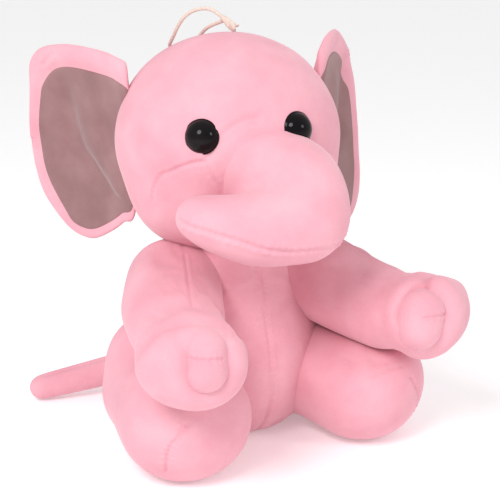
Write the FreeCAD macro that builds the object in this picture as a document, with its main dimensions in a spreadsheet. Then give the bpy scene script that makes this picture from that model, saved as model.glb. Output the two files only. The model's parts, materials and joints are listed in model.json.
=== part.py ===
import FreeCAD, Part
import math
import os

import Sketcher
from FreeCAD import Placement, Rotation, Vector

# Stuffed elephant, sitting.  Millimetres.  +Z is up, the toy faces -Y and its own left side is +X.
# The origin is the centre of the flat seat, on the surface that the toy sits on.
#
# Every limb is the hull of two balls: a root ball, whose centre is the pivot that the limb swings
# about, and an end ball.  A cloth cover of sewn panels goes round a core of stuffing.  Each moving
# root sits in a socket that is one "play" larger, so the limb turns without touching its neighbour.

SIZES = {
    # cloth and clearances
    "cloth": 2.0, "packing_gap": 0.4, "seam_gap": 0.2, "play": 1.4,
    # torso: a pear, the hull of the belly ball and the chest ball, cut flat at the seat
    "belly_radius": 58, "belly_height": 44, "chest_radius": 38, "chest_height": 98,
    "seat_thickness": 2, "seat_margin": 0.4, "head_nod_room": 6,
    # neck plug: the stuffing that joins the torso to the head
    "neck_radius": 17, "neck_low": 123, "neck_high": 146, "neck_swing_room": 6.5, "nod_height": 135,
    # head: a ball of two cloth panels that meet at the cheek seam
    "head_radius": 65.5, "head_x": 0, "head_y": -1, "head_z": 180.5,
    "cheek_seam_angle": -14, "neck_opening_angle": -72,
    "head_turn_angle": -14, "head_lean_angle": -2,
    # eyes: domed buttons on a shank, locked by a washer inside the cloth
    "eye_radius": 10, "eye_height": 7, "eye_azimuth": 25.6, "eye_elevation": 11,
    "shank_radius": 2.4, "shank_length": 11, "washer_radius": 8, "washer_thickness": 1.5,
    "washer_depth": 3.4, "washer_play": 0.05,
    # trunk: the hull of a row of balls, placed in the head's own frame.  It leaves the face as a wide
    # bulge, drops on the toy's left side and curls back to its right.  It lifts about its root.
    "trunk_root_x": 11, "trunk_root_y": -46, "trunk_root_z": -20.5, "trunk_root_radius": 26.5,
    "trunk_bend_x": 21, "trunk_bend_y": -79, "trunk_bend_z": -22.5, "trunk_bend_radius": 24,
    "trunk_curl_x": -8, "trunk_curl_y": -91, "trunk_curl_z": -33, "trunk_curl_radius": 19.5,
    "trunk_tip_x": -42, "trunk_tip_y": -86, "trunk_tip_z": -24, "trunk_tip_radius": 10.5,
    "trunk_step_down": 0.3, "trunk_mouth_radius": 20, "trunk_mouth_back": 14.5,
    "trunk_seam_drop": 36, "trunk_seam_box": 160, "trunk_swing_room": 5, "trunk_room_reach": 35,
    # ears: shallow dishes, swept back from the sides of the head
    "ear_root_x": 63, "ear_root_y": 17, "ear_sweep": 53, "ear_middle": 35, "ear_half_width": 46,
    "ear_half_height": 61.5, "ear_drop": 6.5, "ear_dish_radius": 190, "ear_padding": 6,
    "ear_head_room": 3.2, "ear_cutter_reach": 30,
    # arms: forward and a little out and down, each hand with a thumb lobe on its inner, upper end
    "shoulder_x": 44, "shoulder_y": -11, "shoulder_z": 97.5, "shoulder_radius": 27,
    "hand_x": 78, "hand_y": -112, "hand_z": 88, "hand_radius": 24, "arm_swing_room": 6,
    "arm_lift_outward": 0.5,
    "lobe_radius": 12, "lobe_length": 9, "lobe_reach": 15, "lobe_inward": 6.5, "lobe_rise": 8,
    # legs: short and fat, forward and out, pressed a little flat by the floor
    "hip_x": 50, "hip_y": -14, "hip_z": 32, "hip_radius": 33,
    "foot_x": 60, "foot_y": -66, "foot_z": 32.8, "foot_radius": 34, "leg_swing_room": 10,
    "leg_room_turn": 6, "floor_box": 300,
    # tail: a tapered tube, sewn in low on the back, its tip on the floor
    "tail_root_x": -7, "tail_root_y": 56, "tail_root_z": 26, "tail_root_radius": 10,
    "tail_tip_x": -98, "tail_tip_y": 79, "tail_tip_z": 9, "tail_tip_radius": 8, "tail_swing_room": 7,
    # hanging loop: a thin cord, both ends in one knot on the crown
    "loop_cord_diameter": 2.3, "knot_x": 3, "knot_y": 2.4, "knot_z": 250.3, "knot_radius": 2.9,
    "knot_length": 10, "loop_run_share": 0.48,
}

# the balls of the trunk, from the face to the tip
TRUNK_BALLS = ["trunk_root", "trunk_bend", "trunk_curl", "trunk_tip"]

# the knot leans the way that both strands leave it
KNOT_DIRECTION = Vector(-5, 5.4, 6.6)

# two straight ends closer than this are already joined
JOIN_TOLERANCE = 1e-6

# Route of the hanging loop: out of the knot, up, over to the toy's right, down behind the crown
# and back into the knot.
LOOP_ROUTE = [
    Vector(1.6, 4.0, 251.8),
    Vector(-3.4, 8.8, 258.4),
    Vector(-10.4, 16.0, 258.8),
    Vector(-16.4, 22.4, 254.4),
    Vector(-19.6, 27.0, 247.2),
    Vector(-20.4, 31.6, 240.6),
    Vector(-20.2, 36.8, 236.4),
    Vector(-18.6, 41.4, 233.8),
    Vector(-14.5, 45.1, 232.5),
    Vector(-8.9, 45.6, 232.7),
    Vector(-4.4, 42.6, 234.2),
    Vector(-2.9, 37.0, 236.9),
    Vector(-3.6, 29.2, 240.4),
    Vector(-5.2, 20.6, 244.6),
    Vector(-4.0, 13.4, 248.4),
    Vector(0.2, 5.9, 251.4),
]

SIDES = {"right": -1, "left": 1}

document = FreeCAD.newDocument("stuffed_elephant")
sheet = document.addObject("Spreadsheet::Sheet", "Sizes")
for row, (alias, number) in enumerate(SIZES.items(), start=1):
    sheet.set(f"A{row}", alias)
    sheet.set(f"B{row}", str(number))
    sheet.setAlias(f"B{row}", alias)
document.recompute()

parts = []


def size(expression):
    """The value of a formula over the sheet's cells."""
    return float(sheet.evalExpression(expression))


def cell(alias):
    return f"Sizes.{alias}"


def point(name, side=1):
    """The place whose three coordinates are the sheet's NAME_x, NAME_y and NAME_z."""
    return Vector(side * size(cell(name + "_x")), size(cell(name + "_y")), size(cell(name + "_z")))


def span(start, end):
    """Formula for the distance between two named places."""
    squares = [f"({cell(start)}_{axis} - {cell(end)}_{axis})^2" for axis in "xyz"]
    return "sqrt(" + " + ".join(squares) + ")"


def bind(thing, **formulas):
    for name, formula in formulas.items():
        thing.setExpression(name, formula)
    return thing


def keep(thing, label):
    """Marks an object as a finished sub-part."""
    thing.Label = label
    parts.append(thing)
    return thing


def aim(start, end, side):
    """Placement at start whose Z runs towards end and whose X leans towards side."""
    return Placement(start, Rotation(side, Vector(), end - start, "ZXY"))


# ---------------------------------------------------------------- turned shapes


def profile_sketch(body, name):
    sketch = body.newObject("Sketcher::SketchObject", name)
    plane = [feature for feature in body.Origin.OriginFeatures if feature.Role == "XZ_Plane"][0]
    sketch.AttachmentSupport = [(plane, "")]
    sketch.MapMode = "FlatFace"
    return sketch


def fix_size(sketch, constraint, name, formula):
    number = sketch.addConstraint(constraint)
    sketch.renameConstraint(number, name)
    sketch.setExpression("Constraints." + name, formula)


def hull_profile(sketch, root_radius, end_radius, length, floor_drop=None):
    """Half outline of the hull of two balls on the V axis; floor_drop cuts it flat at the root."""
    rule = Sketcher.Constraint
    root, end, reach = size(root_radius), size(end_radius), size(length)
    lean = math.asin((root - end) / reach)
    start_angle = -math.pi / 2
    if floor_drop:
        start_angle = -math.asin(size(floor_drop) / root)
    centre_line = Vector(0, 0, 1)
    root_arc = sketch.addGeometry(Part.ArcOfCircle(
        Part.Circle(Vector(0, 0, 0), centre_line, root), start_angle, lean))
    side_line = sketch.addGeometry(Part.LineSegment(
        Vector(root * math.cos(lean), root * math.sin(lean), 0),
        Vector(end * math.cos(lean), reach + end * math.sin(lean), 0)))
    end_arc = sketch.addGeometry(Part.ArcOfCircle(
        Part.Circle(Vector(0, reach, 0), centre_line, end), lean, math.pi / 2))
    bottom = -size(floor_drop) if floor_drop else -root
    axis_line = sketch.addGeometry(Part.LineSegment(Vector(0, reach + end, 0), Vector(0, bottom, 0)))
    sketch.addConstraint([
        rule("Coincident", root_arc, 3, -1, 1),
        rule("PointOnObject", end_arc, 3, -2),
        rule("Tangent", root_arc, 2, side_line, 1),
        rule("Tangent", side_line, 2, end_arc, 1),
        rule("Coincident", end_arc, 2, axis_line, 1),
        rule("PointOnObject", axis_line, 1, -2),
        rule("PointOnObject", axis_line, 2, -2),
    ])
    if floor_drop:
        seat_line = sketch.addGeometry(Part.LineSegment(
            Vector(0, bottom, 0), Vector(root * math.cos(start_angle), bottom, 0)))
        sketch.addConstraint([
            rule("Coincident", axis_line, 2, seat_line, 1),
            rule("Coincident", seat_line, 2, root_arc, 1),
            rule("Horizontal", seat_line),
        ])
        fix_size(sketch, rule("DistanceY", seat_line, 1, -1, 1, -bottom), "floor_drop", floor_drop)
    else:
        sketch.addConstraint(rule("Coincident", axis_line, 2, root_arc, 1))
    fix_size(sketch, rule("Radius", root_arc, root), "root_radius", root_radius)
    fix_size(sketch, rule("Radius", end_arc, end), "end_radius", end_radius)
    fix_size(sketch, rule("DistanceY", -1, 1, end_arc, 3, reach), "reach", length)


def band_profile(sketch, outer_radius, thickness, low_angle, high_angle=None):
    """Section of a spherical shell between two latitudes; with no high angle it ends at the pole."""
    rule = Sketcher.Constraint
    outer = size(outer_radius)
    inner = outer - size(thickness)
    low = math.radians(size(low_angle))
    high = math.radians(size(high_angle)) if high_angle else math.pi / 2
    centre_line = Vector(0, 0, 1)
    outer_arc = sketch.addGeometry(Part.ArcOfCircle(
        Part.Circle(Vector(0, 0, 0), centre_line, outer), low, high))
    inner_arc = sketch.addGeometry(Part.ArcOfCircle(
        Part.Circle(Vector(0, 0, 0), centre_line, inner), low, high))
    edges = []
    for angle, end in ((low, 1), (high, 2)):
        ray = Vector(math.cos(angle), math.sin(angle), 0)
        edge = sketch.addGeometry(Part.LineSegment(ray * inner, ray * outer))
        sketch.addConstraint([
            rule("Coincident", edge, 1, inner_arc, end),
            rule("Coincident", edge, 2, outer_arc, end),
            rule("PointOnObject", -1, 1, edge),
        ])
        edges.append(edge)
    sketch.addConstraint([
        rule("Coincident", outer_arc, 3, -1, 1),
        rule("Coincident", inner_arc, 3, -1, 1),
    ])
    fix_size(sketch, rule("Radius", outer_arc, outer), "outer_radius", outer_radius)
    fix_size(sketch, rule("Radius", inner_arc, inner), "inner_radius", f"{outer_radius} - {thickness}")
    fix_size(sketch, rule("Angle", edges[0], low), "low_angle", f"{low_angle} * 1deg")
    if high_angle:
        fix_size(sketch, rule("Angle", edges[1], high), "high_angle", f"{high_angle} * 1deg")
    else:
        sketch.addConstraint(rule("PointOnObject", edges[1], 2, -2))


def turn(body, sketch, kind="Revolution", angle=360, reverse=False):
    feature = body.newObject("PartDesign::" + kind, sketch.Name + "_turned")
    feature.Profile = sketch
    feature.ReferenceAxis = (sketch, ["V_Axis"])
    feature.Angle = angle
    feature.Reversed = reverse
    return feature


def hull(name, root_radius, end_radius, length, place, floor_drop=None):
    """A solid hull of two balls."""
    body = document.addObject("PartDesign::Body", name)
    sketch = profile_sketch(body, name + "_outline")
    hull_profile(sketch, root_radius, end_radius, length, floor_drop)
    turn(body, sketch)
    body.Placement = place
    return body


def panel(name, root_radius, end_radius, length, place, reverse, floor_drop=None):
    """One of the two halves of a hull's cloth cover, on the +Y side or, reversed, on the -Y side."""
    body = document.addObject("PartDesign::Body", name)
    outline = profile_sketch(body, name + "_outline")
    hull_profile(outline, root_radius, end_radius, length, floor_drop)
    turn(body, outline, angle=180, reverse=reverse)
    hollow = profile_sketch(body, name + "_hollow")
    hull_profile(hollow, f"{root_radius} - Sizes.cloth", f"{end_radius} - Sizes.cloth", length)
    turn(body, hollow, kind="Groove")
    body.Placement = place
    return body


def ball(name, radius, centre):
    sphere = document.addObject("Part::Sphere", name)
    bind(sphere, Radius=radius)
    sphere.Placement = Placement(centre, Rotation())
    return sphere


def cut(name, base, tools):
    """The base less every tool, one after another."""
    result = base
    for number, tool in enumerate(tools, start=1):
        step = document.addObject("Part::Cut", f"{name}_cut_{number}")
        step.Base = result
        step.Tool = tool
        result = step
    return result


def swung(start, end, pivot_axis, angle):
    """The end point after the limb has swung about its start by an angle in degrees."""
    return start + Rotation(pivot_axis, angle).multVec(end - start)


def core_radius(radius):
    return f"{radius} - Sizes.cloth - Sizes.packing_gap"


# ---------------------------------------------------------------- places

HEAD_CENTRE = point("head")
HEAD_ROTATION = (Rotation(Vector(0, 0, 1), size("Sizes.head_turn_angle"))
                 * Rotation(Vector(0, 1, 0), size("Sizes.head_lean_angle")))
HEAD_PLACE = Placement(HEAD_CENTRE, HEAD_ROTATION)
UP = Vector(0, 0, 1)
BELLY_CENTRE = Vector(0, 0, size("Sizes.belly_height"))
TORSO_PLACE = aim(BELLY_CENTRE, BELLY_CENTRE + UP, Vector(0, 1, 0))
TORSO_REACH = "Sizes.chest_height - Sizes.belly_height"


def arm_lift_axis(side):
    """Axis of the shoulder: a positive turn lifts the hand up and a little outwards."""
    along = (point("hand", side) - point("shoulder", side)).normalize()
    wanted = Vector(side * size("Sizes.arm_lift_outward"), 0, 1)
    motion = wanted - along * wanted.dot(along)
    return along.cross(motion).normalize()


# ---------------------------------------------------------------- room for what moves


def moving_room():
    """Solids that the torso keeps clear of: the head, the neck, the limb roots and the tail."""
    rooms = [ball("head_room", "Sizes.head_radius + Sizes.head_nod_room", HEAD_CENTRE)]
    for name, side in SIDES.items():
        shoulder, hand = point("shoulder", side), point("hand", side)
        rooms.append(hull(
            name + "_arm_room", "Sizes.shoulder_radius + Sizes.play",
            "Sizes.hand_radius + Sizes.arm_swing_room", span("shoulder", "hand"),
            aim(shoulder, hand, -UP)))
        hip, foot = point("hip", side), point("foot", side)
        rooms.append(hull(
            name + "_leg_room", "Sizes.hip_radius + Sizes.play",
            "Sizes.foot_radius + Sizes.leg_swing_room", span("hip", "foot"),
            aim(hip, swung(hip, foot, UP, side * size("Sizes.leg_room_turn")), UP)))
    rooms.append(hull(
        "tail_room", "Sizes.tail_root_radius + Sizes.play",
        "Sizes.tail_tip_radius + Sizes.tail_swing_room", span("tail_root", "tail_tip"),
        aim(point("tail_root"), point("tail_tip"), UP)))
    return rooms


# ---------------------------------------------------------------- torso and neck


def make_torso(rooms):
    for label, reverse in (("torso_right_panel", False), ("torso_left_panel", True)):
        half = panel(label + "_half", "Sizes.belly_radius", "Sizes.chest_radius", TORSO_REACH,
                     TORSO_PLACE, reverse, "Sizes.belly_height - Sizes.seat_thickness")
        keep(cut(label, half, rooms), label)
    seat = document.addObject("Part::Cylinder", "seat_disc")
    bind(seat, Height="Sizes.seat_thickness - Sizes.seam_gap",
         Radius="sqrt(Sizes.belly_radius^2 - Sizes.belly_height^2) - Sizes.seat_margin")
    keep(cut("seat_panel", seat, [room for room in rooms if "leg" in room.Name]), "seat_panel")
    core = hull("torso_core", core_radius("Sizes.belly_radius"), core_radius("Sizes.chest_radius"),
                TORSO_REACH, TORSO_PLACE,
                "Sizes.belly_height - Sizes.seat_thickness - Sizes.packing_gap")
    neck_room = hull("neck_room", "Sizes.neck_radius + Sizes.neck_swing_room",
                     "Sizes.neck_radius + Sizes.neck_swing_room", "Sizes.neck_high - Sizes.neck_low",
                     Placement(Vector(0, 0, size("Sizes.neck_low")), Rotation()))
    keep(cut("torso_stuffing", core, rooms + [neck_room]), "torso_stuffing")


def make_neck():
    keep(hull("neck_stuffing", "Sizes.neck_radius", "Sizes.neck_radius",
              "Sizes.neck_high - Sizes.neck_low",
              Placement(Vector(0, size("Sizes.head_y"), size("Sizes.neck_low")), Rotation())),
         "neck_stuffing")


# ---------------------------------------------------------------- head and eyes


def eye_place(side):
    """On the head's surface, Z pointing straight out of it."""
    azimuth = math.radians(size("Sizes.eye_azimuth")) * side
    elevation = math.radians(size("Sizes.eye_elevation"))
    outward = Vector(math.sin(azimuth) * math.cos(elevation),
                     -math.cos(azimuth) * math.cos(elevation), math.sin(elevation))
    return HEAD_PLACE * aim(outward * size("Sizes.head_radius"), outward * size("Sizes.head_radius * 2"), UP)


def pin(name, radius, height, depth, place):
    """A cylinder that starts a given depth below the placement's origin."""
    cylinder = document.addObject("Part::Cylinder", name)
    bind(cylinder, Radius=radius, Height=height)
    cylinder.Placement = place * Placement(Vector(0, 0, -size(depth)), Rotation())
    return cylinder


def make_eye(name, side):
    """The domed eye with its shank, and the washer that locks it."""
    place = eye_place(side)
    dome_radius = "(Sizes.eye_radius^2 + Sizes.eye_height^2) / (2 * Sizes.eye_height)"
    dome_ball = ball(name + "_dome_ball", dome_radius, Vector())
    dome_ball.Placement = place * Placement(
        Vector(0, 0, size("Sizes.eye_height") - size(dome_radius)), Rotation())
    button = pin(name + "_button", "Sizes.eye_radius", "Sizes.eye_height", "0", place)
    dome = document.addObject("Part::Common", name + "_dome")
    dome.Base = dome_ball
    dome.Tool = button
    shank = pin(name + "_shank", "Sizes.shank_radius", "Sizes.shank_length", "Sizes.shank_length",
                place)
    eye = document.addObject("Part::Fuse", name)
    eye.Base = dome
    eye.Tool = shank
    keep(eye, name)
    ring = pin(name + "_washer_disc", "Sizes.washer_radius", "Sizes.washer_thickness",
               "Sizes.washer_depth + Sizes.washer_thickness", place)
    hole = pin(name + "_washer_hole", "Sizes.shank_radius + Sizes.washer_play",
               "Sizes.shank_length", "Sizes.shank_length", place)
    keep(cut(name + "_washer", ring, [hole]), name + "_washer")
    pocket = pin(name + "_pocket", "Sizes.washer_radius + Sizes.packing_gap",
                 "Sizes.shank_length + Sizes.packing_gap",
                 "Sizes.shank_length + Sizes.packing_gap", place)
    return hole, pocket


def make_head():
    holes, pockets = zip(*[make_eye(name + "_eye", side) for name, side in SIDES.items()])
    trunk_socket = hull("trunk_socket", "Sizes.trunk_root_radius + Sizes.play",
                        "Sizes.trunk_root_radius + Sizes.play + Sizes.trunk_swing_room",
                        "Sizes.trunk_room_reach",
                        HEAD_PLACE * aim(point("trunk_root"), point("trunk_bend"), UP))
    bands = {
        "head_crown_panel": (cell("cheek_seam_angle"), None),
        "head_cheek_panel": (cell("neck_opening_angle"), cell("cheek_seam_angle")),
    }
    for label, (low, high) in bands.items():
        body = document.addObject("PartDesign::Body", label + "_band")
        sketch = profile_sketch(body, label + "_section")
        band_profile(sketch, "Sizes.head_radius", "Sizes.cloth", low, high)
        turn(body, sketch)
        body.Placement = HEAD_PLACE
        keep(cut(label, body, [trunk_socket] + list(holes)), label)
    core = ball("head_core", core_radius("Sizes.head_radius"), HEAD_CENTRE)
    neck_hole = hull("head_neck_hole", "Sizes.neck_radius + Sizes.play",
                     "Sizes.neck_radius + Sizes.play", "Sizes.neck_high - Sizes.neck_low",
                     Placement(Vector(0, size("Sizes.head_y"), size("Sizes.neck_low")), Rotation()))
    keep(cut("head_stuffing", core, [trunk_socket, neck_hole] + list(pockets)), "head_stuffing")


# ---------------------------------------------------------------- trunk


def trunk_solid(name, shrink):
    """The trunk's hulls fused, every ball smaller by shrink.  Each hull starts a little inside the
    ball that the one before it ends with, so that no two balls coincide."""
    whole = None
    step_down = "0"
    for start, end in zip(TRUNK_BALLS, TRUNK_BALLS[1:]):
        link = hull(f"{name}_{start}", f"{cell(start)}_radius - {shrink} - {step_down}",
                    f"{cell(end)}_radius - {shrink}", span(start, end),
                    HEAD_PLACE * aim(point(start), point(end), UP))
        step_down = cell("trunk_step_down")
        if whole is None:
            whole = link
            continue
        fused = document.addObject("Part::Fuse", f"{name}_fused_{start}")
        fused.Base = whole
        fused.Tool = link
        whole = fused
    return whole


def make_trunk():
    skin = trunk_solid("trunk_skin", "0")
    hollow = trunk_solid("trunk_hollow", "Sizes.cloth")
    mouth = ball("trunk_mouth", "Sizes.trunk_mouth_radius",
                 HEAD_PLACE.multVec(point("trunk_root") + Vector(0, size("Sizes.trunk_mouth_back"), 0)))
    cover = cut("trunk_cloth", skin, [hollow, mouth])
    below_seam = document.addObject("Part::Box", "trunk_below_seam")
    bind(below_seam, Length="Sizes.trunk_seam_box", Width="Sizes.trunk_seam_box",
         Height="Sizes.trunk_seam_box")
    box = size("Sizes.trunk_seam_box")
    below_seam.Placement = HEAD_PLACE * Placement(
        Vector(-box / 2, -box, -size("Sizes.trunk_seam_drop") - box), Rotation())
    underside = document.addObject("Part::Common", "trunk_underside")
    underside.Base = cover
    underside.Tool = below_seam
    keep(cut("trunk_top_panel", cover, [below_seam]), "trunk_top_panel")
    keep(underside, "trunk_underside_panel")
    keep(trunk_solid("trunk_core", "(Sizes.cloth + Sizes.packing_gap)"), "trunk_stuffing")


# ---------------------------------------------------------------- ears


def ear_place(side):
    """At the middle of the ear: Z along the ear's outward normal, Y up."""
    sweep = math.radians(size("Sizes.ear_sweep"))
    along = Vector(side * math.cos(sweep), math.sin(sweep), 0)
    root = Vector(side * size("Sizes.ear_root_x"), size("Sizes.ear_root_y"), 0)
    centre = root + along * size("Sizes.ear_middle") - UP * size("Sizes.ear_drop")
    facing = Vector(side * math.sin(sweep), -math.cos(sweep), 0)
    return HEAD_PLACE * Placement(centre, Rotation(Vector(), UP, facing, "ZYX"))


def dish(name, side, front, back):
    """The slice of the ear's dish between two depths behind its front, cut to the ear's oval."""
    place = ear_place(side)
    dish_centre = place.multVec(Vector(0, 0, size("Sizes.ear_dish_radius")))
    outer = ball(name + "_outer", f"Sizes.ear_dish_radius + {back}", dish_centre)
    inner = ball(name + "_inner", f"Sizes.ear_dish_radius + {front}", dish_centre)
    oval = document.addObject("Part::Ellipse", name + "_oval")
    bind(oval, MajorRadius="Sizes.ear_half_height", MinorRadius="Sizes.ear_half_width")
    oval.Placement = place * Placement(
        Vector(0, 0, -size("Sizes.ear_cutter_reach")), Rotation(UP, 90))
    prism = document.addObject("Part::Extrusion", name + "_prism")
    prism.Base = oval
    prism.DirMode = "Custom"
    prism.Dir = place.Rotation.multVec(UP)
    prism.LengthFwd = size("2 * Sizes.ear_cutter_reach")
    prism.Solid = True
    slab = cut(name + "_slab", outer, [inner])
    slice_ = document.addObject("Part::Common", name + "_slice")
    slice_.Base = slab
    slice_.Tool = prism
    return slice_


def make_ear(name, side):
    cloth, padding, gap = (size(cell(alias)) for alias in ("cloth", "ear_padding", "seam_gap"))
    head_room = ball(name + "_head_room", "Sizes.head_radius + Sizes.ear_head_room", HEAD_CENTRE)
    layers = {
        "lining": (0, cloth),
        "wadding": (cloth + gap, cloth + gap + padding),
        "back": (cloth + padding + 2 * gap, 2 * cloth + padding + 2 * gap),
    }
    for layer, (front, back) in layers.items():
        label = f"{name}_{layer}"
        keep(cut(label, dish(label, side, front, back), [head_room]), label)


# ---------------------------------------------------------------- arms, legs and tail


def make_limb(label, sides, root, end, start, finish, cutters=()):
    """Two cover panels and a core between two places.  sides names the +Y and the -Y panel."""
    place = aim(start, finish, UP)
    root_radius, end_radius = cell(root) + "_radius", cell(end) + "_radius"
    for side_name, reverse in zip(sides, (False, True)):
        panel_label = f"{label}_{side_name}_panel"
        cloth = panel(panel_label + "_half", root_radius, end_radius, span(root, end), place, reverse)
        keep(cut(panel_label, cloth, cutters), panel_label)
    keep(hull(f"{label}_stuffing", core_radius(root_radius), core_radius(end_radius),
              span(root, end), place), f"{label}_stuffing")


def panel_sides(side):
    return ("outer", "inner") if side < 0 else ("inner", "outer")


def make_arm(name, side):
    shoulder, hand = point("shoulder", side), point("hand", side)
    make_limb(name + "_arm", panel_sides(side), "shoulder", "hand", shoulder, hand)
    along = (hand - shoulder).normalize()
    rise = (UP - along * UP.dot(along)).normalize()
    inward = along.cross(UP).normalize() * side
    middle = (hand + along * size("Sizes.lobe_reach") + rise * size("Sizes.lobe_rise")
              - inward * size("Sizes.lobe_inward"))
    half_length = rise * size("Sizes.lobe_length / 2")
    lobe = hull(name + "_hand_lobe_whole", "Sizes.lobe_radius", "Sizes.lobe_radius",
                "Sizes.lobe_length", aim(middle + half_length, middle - half_length, along))
    hand_ball = ball(name + "_hand_ball", "Sizes.hand_radius + Sizes.seam_gap", hand)
    keep(cut(name + "_hand_lobe", lobe, [hand_ball]), name + "_hand_lobe")


def make_leg(name, side, below_floor):
    make_limb(name + "_leg", panel_sides(side), "hip", "foot", point("hip", side),
              point("foot", side), [below_floor])


def make_tail():
    root, tip = point("tail_root"), point("tail_tip")
    place = aim(root, tip, UP)
    skin = hull("tail_skin", "Sizes.tail_root_radius", "Sizes.tail_tip_radius",
                span("tail_root", "tail_tip"), place)
    hollow = hull("tail_hollow", "Sizes.tail_root_radius - Sizes.cloth",
                  "Sizes.tail_tip_radius - Sizes.cloth", span("tail_root", "tail_tip"), place)
    mouth = pin("tail_mouth", "Sizes.tail_root_radius - 2 * Sizes.cloth",
                "Sizes.tail_root_radius * 2", "Sizes.tail_root_radius * 2", place)
    keep(cut("tail_cover", skin, [hollow, mouth]), "tail_cover")
    keep(hull("tail_stuffing", core_radius("Sizes.tail_root_radius"),
              core_radius("Sizes.tail_tip_radius"), span("tail_root", "tail_tip"), place),
         "tail_stuffing")


# ---------------------------------------------------------------- hanging loop


def rounded_route(route, share):
    """Straight runs joined by tangent arcs, each as large as its two runs allow."""
    edges = []
    radii = []
    reached = route[0]
    for before, corner, after in zip(route, route[1:], route[2:]):
        come = (corner - before).normalize()
        go = (after - corner).normalize()
        turn_angle = come.getAngle(go)
        run = share * min((corner - before).Length, (after - corner).Length)
        radius = run / math.tan(turn_angle / 2)
        start, finish = corner - come * run, corner + go * run
        towards_centre = (go - come).normalize()
        centre = corner + towards_centre * (radius / math.cos(turn_angle / 2))
        middle = centre - towards_centre * radius
        if (start - reached).Length > JOIN_TOLERANCE:
            edges.append(Part.LineSegment(reached, start).toShape())
        edges.append(Part.Arc(start, middle, finish).toShape())
        reached = finish
        radii.append(radius)
    edges.append(Part.LineSegment(reached, route[-1]).toShape())
    return Part.Wire(edges), radii


def make_loop():
    knot_place = Placement(point("knot"), Rotation(Vector(1, 0, 0), KNOT_DIRECTION))
    knot = document.addObject("Part::Ellipsoid", "loop_knot")
    bind(knot, Radius1="Sizes.knot_radius", Radius2="Sizes.knot_length / 2",
         Radius3="Sizes.knot_radius")
    knot.Placement = knot_place
    keep(knot, "hanging_loop_knot")
    radius = size("Sizes.loop_cord_diameter") / 2
    wire, radii = rounded_route(LOOP_ROUTE, size("Sizes.loop_run_share"))
    first = LOOP_ROUTE[1] - LOOP_ROUTE[0]
    section = Part.Wire([Part.Circle(LOOP_ROUTE[0], first, radius).toShape()])
    tube = wire.makePipeShell([section], True, False)
    cord = document.addObject("Part::Feature", "loop_cord")
    cord.Shape = tube
    keep(cord, "hanging_loop")
    expected = math.pi * radius ** 2 * wire.Length
    print(f"hanging loop: length {wire.Length:.1f} mm, volume {tube.Volume:.1f} mm3, "
          f"section times length {expected:.1f} mm3, valid {tube.isValid()}")
    print("hanging loop radii:", ", ".join(f"{value:.1f}" for value in radii), "mm")


# ---------------------------------------------------------------- build, check and write

rooms = moving_room()
make_torso(rooms)
make_neck()
make_head()
make_trunk()
below_floor = document.addObject("Part::Box", "below_floor")
bind(below_floor, Length="Sizes.floor_box", Width="Sizes.floor_box", Height="Sizes.floor_box")
below_floor.Placement = Placement(Vector(-1, -1, -2) * size("Sizes.floor_box / 2"), Rotation())
for side_name, side_sign in SIDES.items():
    make_ear(side_name + "_ear", side_sign)
    make_arm(side_name, side_sign)
    make_leg(side_name, side_sign, below_floor)
make_tail()
make_loop()
document.recompute()

failed = [thing.Name for thing in document.Objects
          if "Invalid" in thing.State or "Error" in thing.State]
for part in parts:
    if part.Shape.isNull() or not part.Shape.isValid() or len(part.Shape.Solids) != 1:
        failed.append(f"{part.Label} ({len(part.Shape.Solids)} solids)")
if failed:
    raise RuntimeError("failed objects: " + ", ".join(failed))

os.makedirs("parts", exist_ok=True)
for part in parts:
    part.Shape.exportStep(f"parts/{part.Label}.step")
    print(f"{part.Label}: {part.Shape.Volume / 1000:.1f} cm3")
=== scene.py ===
import json
import math

import bpy
import numpy as np
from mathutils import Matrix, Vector
from mathutils.bvhtree import BVHTree


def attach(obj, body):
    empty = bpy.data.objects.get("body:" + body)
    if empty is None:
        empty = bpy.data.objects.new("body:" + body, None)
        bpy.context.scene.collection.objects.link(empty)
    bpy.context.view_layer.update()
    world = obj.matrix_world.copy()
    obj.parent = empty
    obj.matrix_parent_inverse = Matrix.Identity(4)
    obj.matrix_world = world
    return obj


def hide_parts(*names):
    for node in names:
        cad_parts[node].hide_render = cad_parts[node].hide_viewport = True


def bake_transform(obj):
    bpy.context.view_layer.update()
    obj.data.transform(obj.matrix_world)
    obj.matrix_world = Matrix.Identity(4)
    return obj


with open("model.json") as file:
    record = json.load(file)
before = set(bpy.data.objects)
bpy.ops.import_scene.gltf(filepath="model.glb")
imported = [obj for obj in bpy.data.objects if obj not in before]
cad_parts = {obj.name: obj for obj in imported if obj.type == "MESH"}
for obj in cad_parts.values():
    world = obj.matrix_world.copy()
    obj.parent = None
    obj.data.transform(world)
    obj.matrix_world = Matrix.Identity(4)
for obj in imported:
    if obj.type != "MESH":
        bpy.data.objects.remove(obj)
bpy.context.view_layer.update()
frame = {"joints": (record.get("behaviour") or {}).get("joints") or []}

# A stuffed elephant.  Shapes are worked out in millimetres and become metres in make_mesh.
# +Z is up, the toy faces -Y and its own left side is +X.

MM = 0.001
JOINTS = {joint["name"]: joint for joint in frame["joints"]}
SIDES = {"right": -1, "left": 1}
UP = np.array([0.0, 0.0, 1.0])


def pivot_of(joint_name):
    """A joint's pivot in millimetres."""
    return np.array(JOINTS[joint_name]["pos_m"], float) / MM


def unit(vector):
    vector = np.asarray(vector, float)
    return vector / np.linalg.norm(vector)


def smooth_step(low, high, value):
    share = np.clip((value - low) / (high - low), 0, 1)
    return share * share * (3 - 2 * share)


# ---------------------------------------------------------------- camera, light and floor

CAMERA_AZIMUTH = -28
CAMERA_ELEVATION = 16
CAMERA_DISTANCE = 0.760
CAMERA_AIM = Vector((0, -0.030, 0.118))
CAMERA_LENS = 90.7

WORLD_STRENGTH = 0.72
LIGHT_AIM = Vector((0, -0.03, 0.12))
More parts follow.
